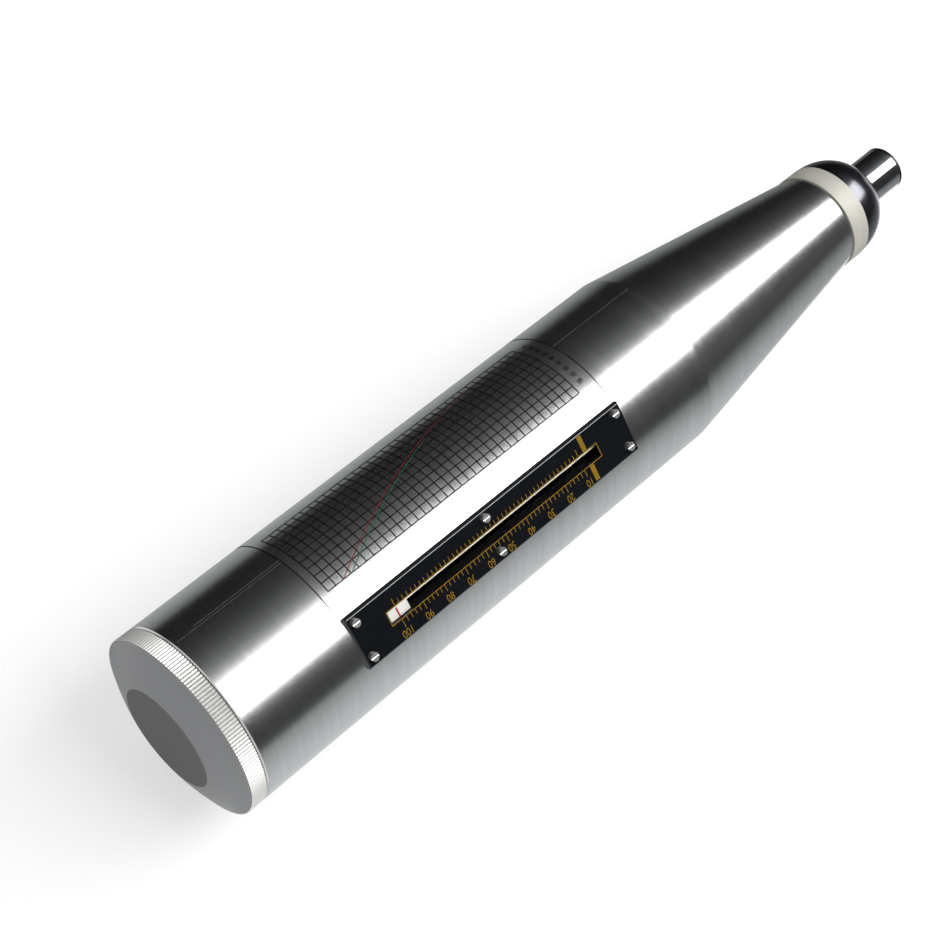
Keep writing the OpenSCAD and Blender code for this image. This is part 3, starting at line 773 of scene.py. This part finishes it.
def chart_grid():
    """Grid of the chart, with the film's two end lines and its dotted lower edge."""
    bm = bmesh.new()
    half = CHART_LINE_W / 2
    for column in range(CHART_COLUMNS + 1):
        at = CHART_FROM + column * CHART_CELL
        wrap(bm, at - half, at + half, CHART_LOW, CHART_HIGH, INK_LIFT, INK_T)
    turn = degrees_of(half)
    for row in range(CHART_ROWS + 1):
        at = CHART_LOW + row * degrees_of(CHART_CELL)
        wrap(bm, CHART_FROM, CHART_TO, at - turn, at + turn, INK_LIFT, INK_T)
    edge = EDGE_LINE_W / 2
    for at in (FILM_FROM + edge, FILM_TO - edge):
        wrap(bm, at - edge, at + edge, FILM_LOW, FILM_HIGH, INK_LIFT, INK_T)
    at = FILM_FROM
    while at < FILM_TO - DOT_LEN:
        wrap(bm, at, at + DOT_LEN, FILM_LOW, FILM_LOW + turn, INK_LIFT, INK_T)
        at += DOT_LEN + DOT_GAP
    piece("chart_grid", bm, black_ink, "housing")


def axis_numbers():
    """Plain numbers in front of the chart, one for each line between its rows."""
    bm = bmesh.new()
    for row in range(1, CHART_ROWS):
        angle = CHART_LOW + row * degrees_of(CHART_CELL)
        middle = on_body(AXIS_NUMBER_AT, BODY_R + INK_LIFT + PRINT_T / 2, angle)
        out = outward(angle)
        number(bm, AXIS_TOP - row * AXIS_STEP, AXIS_NUMBER_H, middle, -STRIKE, STRIKE.cross(out), out)
    bmesh.ops.remove_doubles(bm, verts=bm.verts, dist=MERGE_WITHIN)
    piece("axis_numbers", bm, black_ink, "housing")


def film_seams():
    """Thin edges of the clear film that wraps the housing."""
    bm = bmesh.new()
    half = degrees_of(SEAM_W / 2)
    lines = (
        (REAR_SEAM_FROM, FILM_FROM, REAR_SEAM_ANGLE),
        (LAP_SEAM_FROM, FILM_FROM, LAP_SEAM_ANGLE),
        (FILM_TO, FRONT_SEAM_TO, FRONT_SEAM_ANGLE),
    )
    for along_from, along_to, angle in lines:
        wrap(bm, along_from, along_to, angle - half, angle + half, FILM_LIFT, FILM_T)
    piece("film_seams", bm, seam_ink, "housing")


def chart_curve(name, material, along_from, along_to, angle_to, bend_share):
    """A printed curve that climbs from the chart's lower edge, bending a little."""
    bm = bmesh.new()
    half = CURVE_W / 2
    radius = BODY_R + INK_LIFT + INK_T
    points = []
    for i in range(CURVE_STEPS + 1):
        share = i / CURVE_STEPS
        climb = share + bend_share * share * (1 - share)
        along = along_from + (along_to - along_from) * share
        points.append((along, CHART_LOW + (angle_to - CHART_LOW) * climb))
    for (rear, low), (front, high) in zip(points, points[1:]):
        places = ((rear - half, low), (rear + half, low), (front + half, high), (front - half, high))
        slab(bm, [(on_body(along, radius, angle), outward(angle)) for along, angle in places], INK_T)
    piece(name, bm, material, "housing")


def pointer_sheet(name, material, along, lift, thickness):
    """A thin sheet across the top of the pointer block."""
    bm = bmesh.new()
    top = span("pointer_block", PLATE_OUT)[1] + lift
    flat_slab(bm, along, (-FACE_HALF, FACE_HALF), top, thickness)
    piece(name, bm, material, "pointer")


def pointer_face():
    """White face of the pointer block with its red hair line."""
    rear, front = span("pointer_block", STRIKE)
    pointer_sheet("pointer_face", slots["white_pointer"], (rear, front), 0, FACE_T)
    at = rear + POINTER_LINE_AT
    half = POINTER_LINE_W / 2
    pointer_sheet("pointer_line", hair_red, (at - half, at + half), FACE_T, INK_T)


def coil(bm, node, wire, turns, direction):
    """A coil of round wire in the place of a CAD spring; gives each vertex's share of the way along it."""
    across = STRIKE if direction.cross(STRIKE).length > 0 else PLATE_OUT
    over = direction.cross(across)
    near, far = span(node, direction)
    left, right = span(node, across)
    low, high = span(node, over)
    middle = REAR + across * (left + right) / 2 + over * (low + high) / 2
    mean_r = (right - left - wire) / 2
    rise = far - near - wire
    rings = round(turns * COIL_RINGS)
    shares = []
    loops = []
    for i in range(rings + 1):
        around = math.tau * i / COIL_RINGS
        out = across * math.cos(around) + over * math.sin(around)
        centre = middle + out * mean_r + direction * (near + wire / 2 + rise * i / rings)
        loop = []
        for k in range(COIL_SIDES):
            turn = math.tau * k / COIL_SIDES
            loop.append(bm.verts.new(centre + (out * math.cos(turn) + direction * math.sin(turn)) * wire / 2))
            shares.append(i / rings)
        loops.append(loop)
    for one, two in zip(loops, loops[1:]):
        for k in range(COIL_SIDES):
            j = (k + 1) % COIL_SIDES
            bm.faces.new((one[k], two[k], two[j], one[j])).smooth = True
    bm.faces.new(loops[0])
    bm.faces.new(loops[-1][::-1])
    return shares


def flexing_spring(node, wire, turns, direction):
    """A coil of round wire in the place of a CAD spring, whose own mesh is hidden."""
    bm = bmesh.new()
    shares = coil(bm, node, wire, turns, direction)
    obj = mesh_object(node + "_coil", bm, slots["spring_steel"])
    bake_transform(obj)
    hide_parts(node)


# Coils of round wire in the place of the CAD springs, each wound along its direction
flexing_spring("pressure_spring", PRESSURE_WIRE, PRESSURE_TURNS, STRIKE)
flexing_spring("impact_spring", IMPACT_WIRE, IMPACT_TURNS, -STRIKE)
flexing_spring("button_spring", BUTTON_WIRE, BUTTON_TURNS, -PLATE_OUT)
flexing_spring("pawl_spring", PAWL_WIRE, PAWL_TURNS, -SCALE_SIDE)

scale_marks()
scale_numbers()
plate_edge_line()
slot_line()
chart_film()
chart_grid()
axis_numbers()
film_seams()
chart_curve("chart_curve_red", red_ink, RED_FROM, RED_TO, RED_HIGH, RED_BEND_SHARE)
chart_curve("chart_curve_green", green_ink, GREEN_FROM, GREEN_TO, GREEN_HIGH, GREEN_BEND_SHARE)
pointer_face()

# Stage, in metres: pale floor, white surroundings and one large soft lamp
FLOOR_HALF = 6.0
FLOOR_TONE = (0.5, 0.5, 0.5)
FLOOR_DIP_SHARE = 0.99
FLOOR_GRAIN_SCALE = 30.0
FLOOR_ROUGH = 0.9
FLOOR_GLOW = 0.54
WORLD_FILL = 0.5
LAMP_AT = Vector((0.62, -0.49, 0.875))
LAMP_AIM = Vector((0, 0, 0.027))
LAMP_SIZE = (1.5, 0.78)
LAMP_POWER = 17.0

# Studio cards that only reflections see. A stop is a place in metres and the grey tone there
CARD_TINT_SHARES = (0.98, 1.0, 1.01)
CARD_FROM = -0.15
CARD_TO = 3.0
CARD_REACH = 1.1
CARD_LIFT = 0.0004
NEAR_Y = -0.35
NEAR_TOP_REAR = 0.26
NEAR_BEND_X = 0.3
NEAR_BEND = 0.395
NEAR_TOP_FRONT = 0.46
NEAR_STOPS = ((0, 0.05), (0.2, 0.04), (0.4, 0.06))
FAR_FROM = -1.1
FAR_TOP = 1.5
FAR_TOP_Y = -0.12
FAR_STOPS = ((0, 0.014), (0.4, 0.02), (0.75, 0.056), (1.05, 0.165), (1.2, 0.28), (1.35, 0.42), (1.5, 0.6))
NEAR_FLOOR_FROM = -0.02
NEAR_FLOOR_STOPS = ((-1.1, 0.1), (-0.29, 0.34), (-0.13, 0.53), (-0.075, 0.69), (-0.05, 0.8), (-0.02, 0.8))
FAR_FLOOR_FROM = 0.03
FAR_FLOOR_STOPS = ((0.03, 0.52), (0.23, 0.26), (0.62, 0.07), (1.1, 0.03))
FRONT_CARD_X = 1.9
FRONT_CARD_HALF = 1.6
FRONT_CARD_TOP = 1.4
FRONT_STOPS = ((0, 0.04), (1.4, 0.05))

# How much of a card's tones is left at places along the axis
EVEN_FADE_SHARES = ((0, 1.0),)
FRONT_FADE_SHARES = ((-0.05, 1.0), (0.05, 0.88), (0.1, 0.68), (0.15, 0.52), (0.25, 0.33), (0.6, 0.1))


def seen_rays(tree):
    """1 for rays from the camera, mirrors and glass, so that they all meet the same white."""
    path = add(tree, "ShaderNodeLightPath")
    direct = greater(tree, path.outputs["Is Camera Ray"], path.outputs["Is Glossy Ray"])
    return greater(tree, direct, path.outputs["Is Transmission Ray"])


def flat_sheet(name, corners):
    mesh = bpy.data.meshes.new(name)
    mesh.from_pydata([tuple(c) for c in corners], [], [tuple(range(len(corners)))])
    obj = bpy.data.objects.new(name, mesh)
    bpy.context.scene.collection.objects.link(obj)
    return obj


def floor():
    """Pale floor, brighter to the camera, to mirrors and through glass than to other light."""
    reach = FLOOR_HALF
    corners = ((-reach, -reach, 0), (reach, -reach, 0), (reach, reach, 0), (-reach, reach, 0))
    obj = flat_sheet("floor", corners)
    mat, tree, shader = new_material("pale_floor")
    fine = noise(tree, EVEN, FLOOR_GRAIN_SCALE)
    link(tree, ramp(tree, fine, shade(FLOOR_TONE, FLOOR_DIP_SHARE), FLOOR_TONE), shader.inputs["Base Color"])
    shader.inputs["Roughness"].default_value = FLOOR_ROUGH
    shader.inputs["Specular IOR Level"].default_value = 0
    shader.inputs["Emission Color"].default_value = (*WHITE, 1)
    link(tree, levels(tree, seen_rays(tree), 0, FLOOR_GLOW), shader.inputs["Emission Strength"])
    obj.data.materials.append(mat)


def surroundings():
    """White all round, dimmer as a source of light than it looks."""
    world = bpy.data.worlds.new("studio")
    world.use_nodes = True
    tree = world.node_tree
    sky = tree.nodes["Background"]
    sky.inputs["Color"].default_value = (*WHITE, 1)
    link(tree, levels(tree, seen_rays(tree), WORLD_FILL, 1), sky.inputs["Strength"])
    bpy.context.scene.world = world


def tone_ramp(tree, place, stops, low, high):
    """Grey tones at places along a card, given in metres between its two ends."""
    node = add(tree, "ShaderNodeValToRGB")
    elements = node.color_ramp.elements
    elements.remove(elements[1])
    for i, (at, tone) in enumerate(stops):
        share = (at - low) / (high - low)
        element = elements[0] if i == 0 else elements.new(share)
        element.position = share
        element.color = (*shade(CARD_TINT_SHARES, tone), 1)
    link(tree, place, node.inputs["Fac"])
    return node.outputs["Color"]


def card(name, corners, axis, stops, fade_shares=EVEN_FADE_SHARES):
    """A studio card with tones along one of its axes, and others along the object's that multiply them."""
    obj = flat_sheet(name, corners)
    mat, tree, _ = new_material(name)
    place = add(tree, "ShaderNodeTexCoord")
    apart = add(tree, "ShaderNodeSeparateXYZ")
    link(tree, place.outputs["Generated"], apart.inputs["Vector"])
    reach = sorted(c["XYZ".index(axis)] for c in corners)
    tones = tone_ramp(tree, apart.outputs[axis], stops, reach[0], reach[-1])
    front = tone_ramp(tree, apart.outputs["X"], fade_shares, CARD_FROM, CARD_TO)
    glow = add(tree, "ShaderNodeEmission")
    link(tree, times(tree, tones, front), glow.inputs["Color"])
    link(tree, glow.outputs["Emission"], tree.nodes["Material Output"].inputs["Surface"])
    obj.data.materials.append(mat)
    obj.visible_camera = False
    obj.visible_diffuse = False
    obj.visible_shadow = False
    obj.visible_transmission = False


def cards():
    """A low card in front, a leaning one behind, two on the floor, and one beyond the plunger."""
    corners = (
        (CARD_FROM, NEAR_Y, 0), (CARD_TO, NEAR_Y, 0), (CARD_TO, NEAR_Y, NEAR_TOP_FRONT),
        (NEAR_BEND_X, NEAR_Y, NEAR_BEND), (CARD_FROM, NEAR_Y, NEAR_TOP_REAR),
    )
    card("near_card", corners, "Z", NEAR_STOPS)
    corners = (
        (FAR_FROM, CARD_REACH, 0), (CARD_TO, CARD_REACH, 0),
        (CARD_TO, FAR_TOP_Y, FAR_TOP), (FAR_FROM, FAR_TOP_Y, FAR_TOP),
    )
    card("far_card", corners, "Z", FAR_STOPS)
    for name, inner, outer, stops in (
        ("near_floor_card", NEAR_FLOOR_FROM, -CARD_REACH, NEAR_FLOOR_STOPS),
        ("far_floor_card", FAR_FLOOR_FROM, CARD_REACH, FAR_FLOOR_STOPS),
    ):
        corners = (
            (CARD_FROM, inner, CARD_LIFT), (CARD_TO, inner, CARD_LIFT),
            (CARD_TO, outer, CARD_LIFT), (CARD_FROM, outer, CARD_LIFT),
        )
        card(name, corners, "Y", stops, FRONT_FADE_SHARES)
    half = FRONT_CARD_HALF
    corners = (
        (FRONT_CARD_X, -half, 0), (FRONT_CARD_X, half, 0),
        (FRONT_CARD_X, half, FRONT_CARD_TOP), (FRONT_CARD_X, -half, FRONT_CARD_TOP),
    )
    card("front_card", corners, "Z", FRONT_STOPS)


def lamp():
    light = bpy.data.lights.new("softbox", "AREA")
    light.shape = "RECTANGLE"
    light.size, light.size_y = LAMP_SIZE
    light.energy = LAMP_POWER
    obj = bpy.data.objects.new("softbox", light)
    obj.location = LAMP_AT
    down = (LAMP_AIM - LAMP_AT).normalized()
    side = down.cross(STRIKE).normalized()
    obj.rotation_mode = "QUATERNION"
    obj.rotation_quaternion = Matrix((side.cross(-down), side, -down)).transposed().to_quaternion()
    bpy.context.scene.collection.objects.link(obj)


floor()
surroundings()
cards()
lamp()

# Camera, fitted to the photograph's marks and outlines
CAMERA_AT = Vector((-286.0, -169.3, 492.5)) * MM
CAMERA_AIM = Vector((-32.84, 4.08, 27.0)) * MM
CAMERA_ROLL = 12.33
LENS = 77.42
SENSOR = 36.0


def camera():
    data = bpy.data.cameras.new("camera")
    data.sensor_fit = "HORIZONTAL"
    data.sensor_width = SENSOR
    data.lens = LENS
    obj = bpy.data.objects.new("camera", data)
    ahead = (CAMERA_AIM - CAMERA_AT).normalized()
    level = ahead.cross(Vector((0, 0, 1))).normalized()
    upright = level.cross(ahead)
    roll = math.radians(CAMERA_ROLL)
    right = level * math.cos(roll) + upright * math.sin(roll)
    up = upright * math.cos(roll) - level * math.sin(roll)
    obj.matrix_world = Matrix.Translation(CAMERA_AT) @ Matrix((right, up, -ahead)).transposed().to_4x4()
    bpy.context.scene.collection.objects.link(obj)
    bpy.context.scene.camera = obj


camera()
bpy.context.scene.view_settings.view_transform = "Standard"
